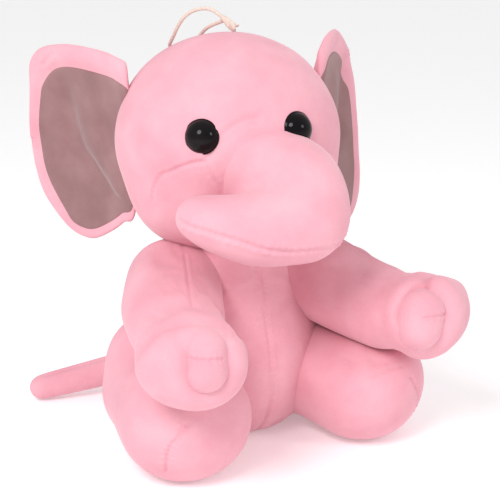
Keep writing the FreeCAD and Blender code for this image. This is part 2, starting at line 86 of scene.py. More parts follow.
# place in metres, width in metres, watts
LIGHTS = {
    "key": ((-0.75, -0.55, 0.9), 0.5, 8.5),
    "fill": ((0.55, -1.0, 0.65), 0.35, 2.5),
}
FLOOR_REACH = 9000
FLOOR_COLOUR = (0.95, 0.94, 0.945)
FLOOR_GLOW = 0.2


def make_camera():
    data = bpy.data.cameras.new("camera")
    camera = bpy.data.objects.new("camera", data)
    bpy.context.scene.collection.objects.link(camera)
    azimuth = math.radians(CAMERA_AZIMUTH)
    elevation = math.radians(CAMERA_ELEVATION)
    back = Vector((math.sin(azimuth) * math.cos(elevation),
                   -math.cos(azimuth) * math.cos(elevation), math.sin(elevation)))
    camera.location = CAMERA_AIM + back * CAMERA_DISTANCE
    camera.rotation_mode = "QUATERNION"
    camera.rotation_quaternion = (-back).to_track_quat("-Z", "Y")
    data.lens = CAMERA_LENS
    data.sensor_width = 36
    data.clip_start = 0.01
    bpy.context.scene.camera = camera


def make_disk_light(name, place, width, watts):
    data = bpy.data.lights.new(name, "AREA")
    data.shape = "DISK"
    data.size = width
    data.energy = watts
    lamp = bpy.data.objects.new(name, data)
    bpy.context.scene.collection.objects.link(lamp)
    lamp.location = place
    lamp.rotation_mode = "QUATERNION"
    lamp.rotation_quaternion = (LIGHT_AIM - Vector(place)).to_track_quat("-Z", "Y")


def make_studio():
    """A white world, a key light, a weaker fill and a pale floor that runs out of sight."""
    world = bpy.data.worlds.new("studio")
    bpy.context.scene.world = world
    world.use_nodes = True
    background = world.node_tree.nodes["Background"]
    background.inputs["Color"].default_value = (1, 1, 1, 1)
    background.inputs["Strength"].default_value = WORLD_STRENGTH
    for name, (place, width, watts) in LIGHTS.items():
        make_disk_light(name, place, width, watts)
    bpy.context.scene.view_settings.view_transform = "Standard"
    material, nodes, _ = new_material("floor")
    shader = nodes["Principled BSDF"]
    shader.inputs["Base Color"].default_value = (*FLOOR_COLOUR, 1)
    shader.inputs["Roughness"].default_value = 0.6
    shader.inputs["Emission Color"].default_value = (1, 1, 1, 1)
    shader.inputs["Emission Strength"].default_value = FLOOR_GLOW
    corners = np.array([[-1, -1, 0], [1, -1, 0], [1, 1, 0], [-1, 1, 0]]) * FLOOR_REACH
    floor = make_mesh("floor", corners, [(0, 1, 2, 3)], material)


# ---------------------------------------------------------------- materials


def new_material(name):
    """A new material with its nodes and its links."""
    material = bpy.data.materials.new(name)
    material.use_nodes = True
    return material, material.node_tree.nodes, material.node_tree.links


def bump_node(nodes, links, height, strength, distance, below=None):
    """A bump, laid over the normal of another one if there is one below."""
    bump = nodes.new("ShaderNodeBump")
    bump.inputs["Strength"].default_value = strength
    bump.inputs["Distance"].default_value = distance
    links.new(height, bump.inputs["Height"])
    if below is not None:
        links.new(below, bump.inputs["Normal"])
    return bump.outputs["Normal"]


def noise_node(nodes, links, coordinates, scale, detail, roughness=0.5):
    noise = nodes.new("ShaderNodeTexNoise")
    noise.inputs["Scale"].default_value = scale
    noise.inputs["Detail"].default_value = detail
    noise.inputs["Roughness"].default_value = roughness
    links.new(coordinates, noise.inputs["Vector"])
    return noise.outputs["Fac"]


def ramp_node(nodes, links, value, stops):
    ramp = nodes.new("ShaderNodeValToRGB")
    elements = ramp.color_ramp.elements
    while len(elements) < len(stops):
        elements.new(0.5)
    for element, (position, colour) in zip(elements, stops):
        element.position = position
        element.color = (*colour, 1)
    links.new(value, ramp.inputs["Fac"])
    return ramp.outputs["Color"]


# dark, middle and light patches of each velour, and the tint of its sheen
PINK = ((0.775, 0.355, 0.425), (0.81, 0.395, 0.465), (0.845, 0.44, 0.505), (1.0, 0.88, 0.92))
GREY = ((0.27, 0.145, 0.148), (0.31, 0.172, 0.175), (0.36, 0.21, 0.212), (0.9, 0.85, 0.85))


def velour_material(name, dark, middle, light, sheen_tint):
    """Short-pile velour: broad brushed patches, a fine pile grain, and sheen at the edges."""
    material, nodes, links = new_material(name)
    shader = nodes["Principled BSDF"]
    place = nodes.new("ShaderNodeTexCoord").outputs["Object"]
    patches = noise_node(nodes, links, place, 38, 3)
    grain = noise_node(nodes, links, place, 1500, 4, 0.7)
    patch_colour = ramp_node(nodes, links, patches, [(0.3, dark), (0.5, middle), (0.72, light)])
    grain_colour = ramp_node(nodes, links, grain, [(0.25, (0.86, 0.86, 0.86)), (0.75, (1, 1, 1))])
    colour = nodes.new("ShaderNodeMixRGB")
    colour.blend_type = "MULTIPLY"
    colour.inputs["Fac"].default_value = 0.8
    links.new(patch_colour, colour.inputs["Color1"])
    links.new(grain_colour, colour.inputs["Color2"])
    links.new(colour.outputs["Color"], shader.inputs["Base Color"])
    shader.inputs["Roughness"].default_value = 0.95
    shader.inputs["Specular IOR Level"].default_value = 0.15
    shader.inputs["Sheen Weight"].default_value = 0.35
    shader.inputs["Sheen Roughness"].default_value = 0.4
    shader.inputs["Sheen Tint"].default_value = (*sheen_tint, 1)
    brushed = bump_node(nodes, links, noise_node(nodes, links, place, 420, 3), 0.25, 0.0006)
    links.new(bump_node(nodes, links, grain, 0.5, 0.0003, brushed), shader.inputs["Normal"])
    return material


def gloss_material():
    material, nodes, links = new_material("black_eye")
    shader = nodes["Principled BSDF"]
    place = nodes.new("ShaderNodeTexCoord").outputs["Object"]
    faint = noise_node(nodes, links, place, 60, 2)
    links.new(ramp_node(nodes, links, faint, [(0.3, (0.004, 0.003, 0.004)), (0.8, (0.012, 0.009, 0.009))]),
              shader.inputs["Base Color"])
    shader.inputs["Roughness"].default_value = 0.05
    shader.inputs["Specular IOR Level"].default_value = 0.12
    return material


def cord_material():
    material, nodes, links = new_material("cream_cord")
    shader = nodes["Principled BSDF"]
    place = nodes.new("ShaderNodeTexCoord").outputs["Object"]
    fibre = noise_node(nodes, links, place, 1800, 3)
    links.new(ramp_node(nodes, links, fibre, [(0.3, (0.56, 0.42, 0.36)), (0.7, (0.82, 0.70, 0.62))]),
              shader.inputs["Base Color"])
    shader.inputs["Roughness"].default_value = 0.8
    shader.inputs["Sheen Weight"].default_value = 0.3
    links.new(bump_node(nodes, links, fibre, 0.6, 0.0003), shader.inputs["Normal"])
    return material


# ---------------------------------------------------------------- meshes


def make_mesh(name, points, faces, material=None):
    mesh = bpy.data.meshes.new(name)
    mesh.from_pydata((np.asarray(points, float) * MM).tolist(), [], [tuple(face) for face in faces])
    mesh.validate()
    mesh.shade_smooth()
    if material:
        mesh.materials.append(material)
    piece = bpy.data.objects.new(name, mesh)
    bpy.context.scene.collection.objects.link(piece)
    return piece


def points_of(piece):
    flat = np.zeros(len(piece.data.vertices) * 3, np.float32)
    piece.data.vertices.foreach_get("co", flat)
    return flat.reshape(-1, 3).astype(float) / MM


def normals_of(piece):
    flat = np.zeros(len(piece.data.vertices) * 3, np.float32)
    piece.data.vertices.foreach_get("normal", flat)
    return flat.reshape(-1, 3).astype(float)


def set_points(piece, points):
    piece.data.vertices.foreach_set("co", (np.asarray(points) * MM).astype(np.float32).ravel())
    piece.data.update()


def apply_modifiers(piece):
    bpy.context.view_layer.update()
    evaluated = piece.evaluated_get(bpy.context.evaluated_depsgraph_get())
    mesh = bpy.data.meshes.new_from_object(evaluated)
    old = piece.data
    piece.modifiers.clear()
    piece.data = mesh
    bpy.data.meshes.remove(old)
    piece.data.shade_smooth()


def subdivide(piece, levels):
    modifier = piece.modifiers.new("subdivide", "SUBSURF")
    modifier.levels = levels
    modifier.render_levels = levels
    apply_modifiers(piece)


def cube_ball(cells):
    """Unit directions and quads of a cube blown up to a ball, in nearly even cells."""
    steps = np.tan(np.linspace(-math.pi / 4, math.pi / 4, cells + 1))
    index = {}
    points = []
    faces = []

    def corner(place):
        key = tuple(np.round(place, 6))
        if key not in index:
            index[key] = len(points)
            points.append(place)
        return index[key]

    for axis in range(3):
        for sign in (-1, 1):
            for i in range(cells):
                for j in range(cells):
                    quad = []
                    for di, dj in ((0, 0), (1, 0), (1, 1), (0, 1)):
                        place = np.zeros(3)
                        place[axis] = sign
                        place[(axis + 1) % 3] = steps[i + di]
                        place[(axis + 2) % 3] = steps[j + dj]
                        quad.append(corner(place))
                    faces.append(quad if sign > 0 else quad[::-1])
    points = np.array(points)
    return points / np.linalg.norm(points, axis=1)[:, None], faces


def blend_min(first, second, width):
    """Smooth union of two distance fields."""
    share = np.clip(0.5 + 0.5 * (second - first) / width, 0, 1)
    return second * (1 - share) + first * share - width * share * (1 - share)


def blend_max(first, second, width):
    return -blend_min(-first, -second, width)


def ellipsoid(points, centre, radii):
    """About the distance to an ellipsoid, negative inside."""
    scaled = (points - np.asarray(centre)) / np.asarray(radii)
    length = np.linalg.norm(scaled, axis=1)
    slope = np.linalg.norm(scaled / np.asarray(radii), axis=1)
    return np.where(length > 1e-9, length * (length - 1) / np.maximum(slope, 1e-9), -min(radii))


def grow_surface(origins, directions, field, reach, steps=48):
    """Where each ray first leaves the field's inside."""
    low = np.zeros(len(origins))
    high = np.full(len(origins), float(reach))
    found = np.zeros(len(origins), bool)
    for step in range(1, steps + 1):
        distance = reach * step / steps
        outside = field(origins + directions * distance) > 0
        first = outside & ~found
        high[first] = distance
        low[first] = reach * (step - 1) / steps
        found |= outside
    for _ in range(24):
        middle = (low + high) / 2
        outside = field(origins + directions * middle[:, None]) > 0
        high = np.where(outside, middle, high)
        low = np.where(outside, low, middle)
    return origins + directions * high[:, None]


def frame_along(along):
    """Rows side, up and along: a frame whose third axis is along."""
    along = unit(along)
    side = unit(np.cross(UP, along))
    return np.array([side, np.cross(along, side), along])


def grow_ball(name, cells, centre, field, reach, material):
    directions, faces = cube_ball(cells)
    origins = np.repeat([np.asarray(centre, float)], len(directions), axis=0)
    return make_mesh(name, grow_surface(origins, directions, field, reach), faces, material)


def grow_tube(name, cells, spine, field, reach, material):
    """A closed skin about a spine of points: rays leave the spine square to it, and fan out at its
    ends."""
    directions, faces = cube_ball(cells)
    share = (directions[:, 2] + 1) / 2 * (len(spine) - 1)
    lower = np.clip(np.floor(share).astype(int), 0, len(spine) - 2)
    rest = (share - lower)[:, None]
    spine = np.asarray(spine, float)
    origins = spine[lower] * (1 - rest) + spine[lower + 1] * rest
    tangents = np.gradient(spine, axis=0)
    tangents /= np.linalg.norm(tangents, axis=1)[:, None]
    along = tangents[lower] * (1 - rest) + tangents[lower + 1] * rest
    along /= np.linalg.norm(along, axis=1)[:, None]
    side = np.cross(np.repeat([UP], len(along), axis=0), along)
    side /= np.linalg.norm(side, axis=1)[:, None]
    rise = np.cross(along, side)
    rays = side * directions[:, :1] + rise * directions[:, 1:2] + along * directions[:, 2:]
    return make_mesh(name, grow_surface(origins, rays, field, reach), faces, material)


def smooth_curve(points, count):
    """Points evenly spaced along a smooth curve through the given ones."""
    points = np.asarray(points, float)
    padded = np.vstack([2 * points[0] - points[1], points, 2 * points[-1] - points[-2]])
    pieces = []
    for i in range(len(points) - 1):
        a, b, c, d = padded[i:i + 4]
        t = np.linspace(0, 1, 24, endpoint=False)[:, None]
        pieces.append(0.5 * (2 * b + (c - a) * t + (2 * a - 5 * b + 4 * c - d) * t ** 2
                             + (3 * b - a - 3 * c + d) * t ** 3))
    curve = np.vstack(pieces + [points[-1:]])
    lengths = np.concatenate([[0], np.cumsum(np.linalg.norm(np.diff(curve, axis=0), axis=1))])
    wanted = np.linspace(0, lengths[-1], count)
    return np.stack([np.interp(wanted, lengths, column) for column in curve.T], axis=1)


def ball_chain(points, chain, width=0):
    """Distance to the hull chain of balls given as rows x, y, z, radius."""
    nearest = np.full(len(points), 1e9)
    for start, end in zip(chain, chain[1:]):
        line = end[:3] - start[:3]
        share = np.clip((points - start[:3]) @ line / (line @ line), 0, 1)
        radius = start[3] + (end[3] - start[3]) * share
        distance = np.linalg.norm(points - start[:3] - line * share[:, None], axis=1) - radius
        nearest = blend_min(nearest, distance, width) if width else np.minimum(nearest, distance)
    return nearest


# ---------------------------------------------------------------- stuffing, seams and creases

CLOTH_FRAMES = 20
CLOTH_PRESSURE = 4
CLOTH_GROWTH = -0.02
HELD_WIDTH = 3.5


def dense(line, spacing=2.0):
    """A smooth curve through the points of a line, with even small steps."""
    line = np.asarray(line, float)
    length = np.linalg.norm(np.diff(line, axis=0), axis=1).sum()
    return smooth_curve(line, max(3, int(length / spacing)))


def snap(piece, line):
    """The line moved on to the piece's surface."""
    tree = BVHTree.FromObject(piece, bpy.context.evaluated_depsgraph_get())
    found = []
    for place in dense(line) * MM:
        nearest = tree.find_nearest(Vector(place))[0]
        found.append(np.array(nearest) / MM)
    return np.array(found)


def line_distance(points, line):
    """Distance of each point to a line, how far along it the nearest place is, and its length."""
    best = np.full(len(points), 1e9)
    along = np.zeros(len(points))
    travelled = 0.0
    for start, end in zip(line, line[1:]):
        run = end - start
        length = np.linalg.norm(run)
        if length < 1e-6:
            continue
        share = np.clip((points - start) @ run / length ** 2, 0, 1)
        distance = np.linalg.norm(points - start - run * share[:, None], axis=1)
        closer = distance < best
        best = np.where(closer, distance, best)
        along = np.where(closer, travelled + share * length, along)
        travelled += length
    return best, along, travelled


def stuff(piece, held_lines=(), cap=1.6):
    """Blows the coarse skin up as cloth, held along its seams and by no more than cap, then makes it
    fine."""
    before = points_of(piece)
    held = np.zeros(len(before), bool)
    for line in held_lines:
        held |= line_distance(before, snap(piece, line))[0] < HELD_WIDTH
    group = piece.vertex_groups.new(name="held")
    group.add([int(index) for index in np.nonzero(held)[0]], 1.0, "REPLACE")
    modifier = piece.modifiers.new("cloth", "CLOTH")
    settings = modifier.settings
    settings.quality = 5
    settings.mass = 0.2
    settings.use_pressure = True
    settings.uniform_pressure_force = CLOTH_PRESSURE
    settings.vertex_group_mass = "held"
    settings.shrink_min = CLOTH_GROWTH
    settings.effector_weights.gravity = 0
    modifier.collision_settings.use_collision = False
    modifier.point_cache.frame_start = 1
    modifier.point_cache.frame_end = CLOTH_FRAMES
    for frame_number in range(1, CLOTH_FRAMES + 1):
        bpy.context.scene.frame_set(frame_number)
    apply_modifiers(piece)
    bpy.context.scene.frame_set(1)
    moved = points_of(piece) - before
    size = np.linalg.norm(moved, axis=1)
    allowed = cap * np.tanh(size / cap)
    moved *= (allowed / np.maximum(size, 1e-9))[:, None]
    piece.vertex_groups.clear()
    set_points(piece, before + moved)
    subdivide(piece, 2)


def carve(piece, line, depth=0.8, width=1.1, ridge=0.35, pucker=0.25, wave=3.6, fade=2.0):
    """A sewn or folded line: a groove with a soft ridge on each side and small puckers across it."""
    line = snap(piece, line)
    points = points_of(piece)
    reach = 8 * width
    close = np.all((points > line.min(axis=0) - reach) & (points < line.max(axis=0) + reach), axis=1)
    index = np.nonzero(close)[0]
    if not len(index):
        return
    distance, along, length = line_distance(points[index], line)
    push = -depth * np.exp(-(distance / width) ** 2)
    push += ridge * np.exp(-((distance - 2.4 * width) / (1.3 * width)) ** 2)
    ripple = np.sin(2 * math.pi * along / wave + 1.7 * np.sin(0.31 * along))
    push += pucker * ripple * np.exp(-((distance - 1.6 * width) / (1.8 * width)) ** 2)
    push *= smooth_step(0, fade, along) * smooth_step(0, fade, length - along)
    points[index] += normals_of(piece)[index] * push[:, None]
    set_points(piece, points)


def fold(piece, line, depth=1.6, width=3.0, fade=6.0):
    """A soft crease in the cloth."""
    carve(piece, line, depth=depth, width=width, ridge=depth * 0.35, pucker=0, fade=fade)


def lumps(piece, amount=0.35, size=16.0):
    """Uneven stuffing: a slow, even-handed swell of the surface."""
    points = points_of(piece)
    x, y, z = (points / size).T
    swell = (np.sin(1.9 * x + 1.3 * np.sin(1.1 * z)) * np.sin(1.7 * y + 0.7 * np.sin(1.3 * x))
             + np.sin(2.3 * z + 1.1 * np.sin(0.9 * y)))
    set_points(piece, points + normals_of(piece) * (amount * swell / 2)[:, None])


# ---------------------------------------------------------------- the head's own frame

HEAD_CENTRE = np.array([0.0, -1.0, 182.0])
HEAD_TURN = math.radians(-14)
HEAD_LEAN = math.radians(-2)
TURN = np.array([[math.cos(HEAD_TURN), -math.sin(HEAD_TURN), 0],
                 [math.sin(HEAD_TURN), math.cos(HEAD_TURN), 0], [0, 0, 1]])
LEAN = np.array([[math.cos(HEAD_LEAN), 0, math.sin(HEAD_LEAN)], [0, 1, 0],
                 [-math.sin(HEAD_LEAN), 0, math.cos(HEAD_LEAN)]])
HEAD_AXES = TURN @ LEAN


def from_head(points):
    """Points of the head's frame in the toy's."""
    return np.asarray(points, float) @ HEAD_AXES.T + HEAD_CENTRE


def to_head(points):
    """Points of the toy's frame in the head's."""
    return (np.asarray(points, float) - HEAD_CENTRE) @ HEAD_AXES


HEAD_WIDE, HEAD_DEEP = 67.5, 66.5
HEAD_ABOVE, HEAD_BELOW = 62.8, 68.0
CHEEK_CENTRE = (27, -12, -28)
CHEEK_RADIUS = 30.5


def head_field(points):
    """A ball that is flatter above than below, with a cheek on each side."""
    local = to_head(points)
    radii_z = np.where(local[:, 2] > 0, HEAD_ABOVE, HEAD_BELOW)
    radii = np.stack([np.full(len(local), HEAD_WIDE), np.full(len(local), HEAD_DEEP), radii_z], axis=1)
    ball = (np.linalg.norm(local / radii, axis=1) - 1) * 66
    for side in SIDES.values():
        cheek = np.linalg.norm(local - np.array(CHEEK_CENTRE) * (side, 1, 1), axis=1) - CHEEK_RADIUS
        ball = blend_min(ball, cheek, 14)
    return ball


# The trunk's balls as x, y, z and radius: out of the face, down on the toy's left, back to its right.
TRUNK_CHAIN = np.array([
    [7.4, -45.3, -5.9, 24.2],
    [8.2, -51.2, -11.5, 29.0],
    [16.1, -61.3, -15.5, 28.9],
    [21.8, -73.6, -18.2, 26.8],
    [22.5, -85.4, -29.6, 25.5],
    [11.3, -90.8, -32.2, 22.9],
    [-2.6, -92.3, -33.6, 20.6],
    [-18.5, -90.9, -31.0, 17.9],
    [-31.0, -89.0, -27.5, 14.8],
    [-38.0, -88.0, -25.0, 12.4],
])


def trunk_field(points):
    return ball_chain(to_head(points), smooth_curve(TRUNK_CHAIN, 40))


def slope_of(field, points, step=0.4):
    """Direction in which a distance field grows."""
    slope = np.stack([field(points + step * axis) - field(points - step * axis)
                      for axis in np.eye(3)], axis=1)
    return slope / np.maximum(np.linalg.norm(slope, axis=1), 1e-9)[:, None]


def remesh_balls(name, chain, cell, field, material):
    """A skin round a row of balls, remeshed in even cells and drawn on to the field's surface."""
    directions, faces = cube_ball(10)
    rows = np.asarray(chain, float)
    points = np.concatenate([row[:3] + directions * row[3] for row in rows])
    every = [[index + number * len(directions) for index in face]
             for number in range(len(rows)) for face in faces]
    piece = make_mesh(name, points, every, material)
    modifier = piece.modifiers.new("remesh", "REMESH")
    modifier.mode = "VOXEL"
    modifier.voxel_size = cell * MM
    apply_modifiers(piece)
    points = points_of(piece)
    for _ in range(6):
        points -= slope_of(field, points) * field(points)[:, None]
    set_points(piece, points)
    smoothing = piece.modifiers.new("smooth", "SMOOTH")
    smoothing.factor = 0.5
    smoothing.iterations = 4
    apply_modifiers(piece)
    return piece


# ---------------------------------------------------------------- pieces


def sew(nodes):
    """Hides the CAD nodes that a stuffed piece stands for."""
    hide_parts(*nodes)


# Seams and creases in the head's frame.  The cheek seam is drawn on the toy's left and used on both.
CHEEK_SEAM = [(26.3, -61.6, -0.1), (32.8, -58.4, -1), (39.9, -53.7, -3.9), (44.4, -49.7, -6.8),
              (49.7, -43.8, -10.1), (52.2, -38.4, -18), (53, -34, -28)]
MOUTH_SEAM = [(26, -61.8, -2), (23.5, -62.1, -9), (19.5, -62.2, -15), (17, -62, -19)]
BRIDGE_CREASE = [(-27, -61, -1), (-24, -62, 5), (-16.5, -63.5, 14.5), (-3.5, -63, 21.5), (8, -63, 21.5)]


def make_head(pink):
    head = grow_ball("head_skin", 30, HEAD_CENTRE, head_field, 110, pink)
    cheek_seams = [from_head(np.array(CHEEK_SEAM) * (side, 1, 1)) for side in SIDES.values()]
    stuff(head, cheek_seams, cap=1.0)
    lumps(head)
    for seam in cheek_seams:
        carve(head, seam, depth=0.7, width=1.0, ridge=0.3, pucker=0.2)
    mouth_seam = from_head(np.array(MOUTH_SEAM) * (SIDES["right"], 1, 1))
    carve(head, mouth_seam, depth=0.6, width=1.0, ridge=0.2, pucker=0.1)
    fold(head, from_head(BRIDGE_CREASE), depth=1.3, width=2.4)
    sew(["head_crown_panel", "head_cheek_panel", "head_stuffing"])
    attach(head, "head")


TRUNK_SEAM = [(-49, -92, -23.5), (-45, -97, -26), (-38, -102, -28.5), (-30, -105.5, -31),
              (-19, -109, -34.7), (-7, -111, -39), (5, -111.5, -41.5), (17, -110.5, -42.6),
              (28, -107, -43), (38, -101, -43), (46, -92, -42)]


def make_trunk(pink):
    chain = smooth_curve(TRUNK_CHAIN, 24)
    world = np.hstack([from_head(chain[:, :3]), chain[:, 3:]])
    trunk = remesh_balls("trunk_skin", world, 4.5, trunk_field, pink)
    stuff(trunk, cap=0.8)
    lumps(trunk)
    carve(trunk, from_head(TRUNK_SEAM), depth=0.9, width=1.1, ridge=0.35, pucker=0.32, wave=4.2)
    sew(["trunk_top_panel", "trunk_underside_panel", "trunk_stuffing"])
    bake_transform(trunk)


def limb_frame(start, end):
    """Two functions: into a frame whose third axis is the limb, and out of it."""
    axes = frame_along(end - start)

    def to_local(points):
        return (points - start) @ axes.T

    def from_local(local):
        return np.asarray(local, float) @ axes + start

    return to_local, from_local


# Arms.  Each is worked out in its own frame: x to the toy's left, y up, z along the arm.

ARM_CHAIN = np.array([[0, 0, 0, 27.4], [0, 0, 38, 27.4], [0, 0, 78, 24.6]])
HAND_CENTRE = (0, 0, 101)
HAND_RADII = (30, 24.5, 23)
ARM_TOP_SEAM = [(7, 26, 14), (6.5, 27, 34), (5.5, 26, 58), (4, 24, 82)]
WRIST_CREASE = [(-29, -2, 101), (-24, 8, 102), (-14, 17, 102), (0, 22, 100), (13, 19, 101), (24, 8, 103)]
# the seam of the thumb pad, from the middle of the pad
PAD_SEAM = [(-12, 5.5, 8), (-6, 6, 12.5), (1, 6, 14), (7, 5.5, 12.5), (12, 4, 8)]
HANDS = {
    # the thumb pad's two balls, and the side on which the fold round it stays open
    "right": (np.array([[5.5, -1, 114.5, 12.3], [5.5, 8, 111, 12.3]]), (0, 1, 0)),
    "left": (np.array([[-17, -1, 108, 13.5], [-14.5, 7, 108, 13]]), (-0.75, -0.65, 0)),
}
HAND_VECTOR = np.array([34.0, -101.0, -9.5])

# how far each arm bows to the toy's left and hangs, at five stations along it
ARM_STATIONS = (0, 35, 58, 78, 98)
ARM_BOW = {"right": (2, -3.5, -3, -1, 0), "left": (0, 0, 0, 0, 0)}
ARM_HANG = {"right": (0, 1.5, 2.5, 3.5, 4.5), "left": (1, 3.5, 5.5, 6.5, 0)}


def arm_shift(name, along):
    bow = np.interp(along, ARM_STATIONS, ARM_BOW[name])
    hang = np.interp(along, ARM_STATIONS, ARM_HANG[name])
    return np.stack([bow, -hang, np.zeros_like(bow)], axis=-1)


def arm_frame(name):
    shoulder = pivot_of(name + "_arm_swing")
    return limb_frame(shoulder, shoulder + HAND_VECTOR * (SIDES[name], 1, 1))


def arm_field(name):
    to_local, _ = arm_frame(name)

    def field(points):
        local = to_local(points)
        local -= arm_shift(name, local[:, 2])
        tube = ball_chain(local / (1.05, 0.98, 1), ARM_CHAIN)
        hand = ellipsoid(local, HAND_CENTRE, HAND_RADII)
        return blend_min(tube, hand, 7)

    return field


def press_pad_in(arm, local, pad, open_side):
    """The hand closes round the thumb pad: a groove at its edge and a swell outside the groove."""
    from_pad = ball_chain(local, pad)
    direction = local - pad[:, :3].mean(axis=0)
    direction /= np.linalg.norm(direction, axis=1)[:, None]
    shut = smooth_step(0.85, 0.45, direction @ unit(open_side)) * smooth_step(96, 104, local[:, 2])
    groove = -2.6 * np.exp(-((from_pad - 0.5) / 2.6) ** 2)
    swell = 1.8 * np.exp(-((from_pad - 8) / 4.5) ** 2)
    set_points(arm, points_of(arm) + normals_of(arm) * ((groove + swell) * shut)[:, None])


def make_lobe(name, pad, to_local, from_local, pink):
    def pad_field(points):
        return ball_chain(to_local(points), pad, 3)

    middle = pad[:, :3].mean(axis=0)
    lobe = grow_ball(name + "_hand_lobe_skin", 14, from_local(middle), pad_field, 30, pink)
    seam = from_local(middle + np.array(PAD_SEAM))
    stuff(lobe, [seam], cap=0.6)
    carve(lobe, seam, depth=0.7, width=0.9, pucker=0.15)
    sew([name + "_hand_lobe"])
    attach(lobe, name + "_arm")


def make_arm(name, pink):
    to_local, from_local = arm_frame(name)
    pad, open_side = HANDS[name]
    along = np.linspace(-6, 104, 12)
    straight = np.stack([0 * along, 0 * along, along], axis=-1)
    spine = from_local(straight + arm_shift(name, along))
    arm = grow_tube(name + "_arm_skin", 22, spine, arm_field(name), 60, pink)
    top_seam = from_local(ARM_TOP_SEAM)
    stuff(arm, [top_seam])
    lumps(arm)
    carve(arm, top_seam, depth=0.45, width=0.9, ridge=0.2, pucker=0.12)
    wrist = from_local(np.array(WRIST_CREASE) + arm_shift(name, ARM_STATIONS[-1]))
    fold(arm, wrist, depth=3.6, width=4.4, fade=12)
    press_pad_in(arm, to_local(points_of(arm)), pad, open_side)
    sew([f"{name}_arm_{part}" for part in ("outer_panel", "inner_panel", "stuffing")])
    from_local([0, 0, -12]) * MM
    from_local([0, 0, 34]) * MM
    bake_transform(arm)
    make_lobe(name, pad, to_local, from_local, pink)


FOOT_VECTOR = np.array([11.0, -52.0, 1.0])
FOOT_RADIUS = 35
HAUNCH_RADIUS = 31
LEG_WIDENING = 1.09
# seams on the left foot, from the foot's centre
SOLE_SEAM = [(13.2, -31.8, 13.8), (16.8, -31.6, 10.3), (18.8, -31.8, 6.1), (23.2, -29.4, -0.5),
             (24.7, -27.2, -7.1), (22.3, -20, -21)]
TOE_SEAM = [(-15, -28.7, 15.6), (-5, -29.4, 19.6), (10.6, -27.9, 19.5)]
# the skin's lowest height over the floor
FLOOR_CLEARANCE = 0.3
# how high each haunch rises over the hip, and the thigh's radius
LEG_FULLNESS = {"right": (18, 34.5), "left": (10, 34.0)}


def rest_on_floor(piece):
    """Flattens what sinks below the floor."""
    points = points_of(piece)
    points[:, 2] = np.maximum(points[:, 2], FLOOR_CLEARANCE)
    set_points(piece, points)


def make_leg(name, side, pink):
    hip = pivot_of(name + "_leg_splay")
    foot = hip + FOOT_VECTOR * (side, 1, 1)
    to_local, from_local = limb_frame(hip, foot)
    press = arm_field(name)
    out = side * np.array([0.5, 0, 0])
    haunch_rise, main_radius = LEG_FULLNESS[name]
    chain = np.array([[*(hip + out + (0, 2, haunch_rise)), HAUNCH_RADIUS],
                      [*(hip + out + (0, -3, 3)), main_radius],
                      [*(foot + (0, 1, 1)), FOOT_RADIUS]])
    chain[:, :3] = to_local(chain[:, :3])

    def field(points):
        local = to_local(points)
        body = ball_chain(local / (LEG_WIDENING, 1, 1), chain / (LEG_WIDENING, 1, 1, 1), 6)
        body = blend_max(body, FLOOR_CLEARANCE - points[:, 2], 6)
        return blend_max(body, 0.8 - press(points), 5)

    leg = grow_tube(name + "_leg_skin", 22, [hip + out, (hip + foot) / 2, foot], field, 70, pink)
    seam = np.array(SOLE_SEAM) * (side, 1, 1) + foot
    stuff(leg, [seam])
    lumps(leg)
    carve(leg, seam, depth=1.0, pucker=0.3)
    if name == "left":
        carve(leg, np.array(TOE_SEAM) + foot, depth=0.6, width=0.9, ridge=0.2, pucker=0.1)
    rest_on_floor(leg)
    sew([f"{name}_leg_{part}" for part in ("outer_panel", "inner_panel", "stuffing")])
    from_local([0, 0, -20]) * MM
    from_local([0, 0, 30]) * MM
    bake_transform(leg)


FRONT_SEAM = [(0, -38, 118), (0, -45, 105), (0, -50, 95), (0, -58, 80), (0, -58, 55), (0, -55, 30),
              (0, -48, 11), (0, -38, 1)]
BACK_SEAM = [(0, 38, 118), (0, 46, 100), (0, 56, 75), (0, 59, 50), (0, 54, 25), (0, 38, 1)]


def torso_field(points):
    belly = ellipsoid(points, (0, 0, 46), (60, 58, 57))
    chest = ellipsoid(points, (0, 0, 100), (39, 38, 40))
    body = blend_min(belly, chest, 34)
    return blend_max(body, FLOOR_CLEARANCE - points[:, 2], 5)


def make_torso(pink):
    torso = grow_ball("torso_skin", 30, (0, 0, 60), torso_field, 110, pink)
    stuff(torso, [FRONT_SEAM, BACK_SEAM])
    lumps(torso)
    carve(torso, FRONT_SEAM, depth=0.8, pucker=0.2)
    carve(torso, BACK_SEAM, depth=0.8, pucker=0.2)
    rest_on_floor(torso)
    sew(["torso_right_panel", "torso_left_panel", "seat_panel", "torso_stuffing", "neck_stuffing"])
    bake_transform(torso)


TAIL_VECTOR = np.array([-91.0, 23.0, -17.0])


def make_tail(pink):
    root = pivot_of("tail_wag")
    tip = root + TAIL_VECTOR
    chain = np.array([[*root, 10.5], [*(root * 0.5 + tip * 0.5 + [0, 1, -0.8]), 9.6], [*tip, 8.2]])
    curve = smooth_curve(chain, 12)

    def field(points):
        return blend_max(ball_chain(points, curve), FLOOR_CLEARANCE - points[:, 2], 2)

    tail = grow_tube("tail_skin", 12, curve[:, :3], field, 30, pink)
    stuff(tail, cap=0.6)
    seam = [root + (-14, -2, 7), (root + tip) / 2 + (0, -2, 10), tip + (0, -2, 8)]
    carve(tail, seam, depth=0.6, pucker=0.15)
    sew(["tail_cover", "tail_stuffing"])
    (root + unit(tip - root) * 18) * MM
    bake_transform(tail)


# Ears.  Each is worked out in its own frame: u outwards from the root, v up, w towards the front.

EAR_SWEEP = math.radians(53)
EAR_ROOT = np.array([63.0, 17.0, 0.0])


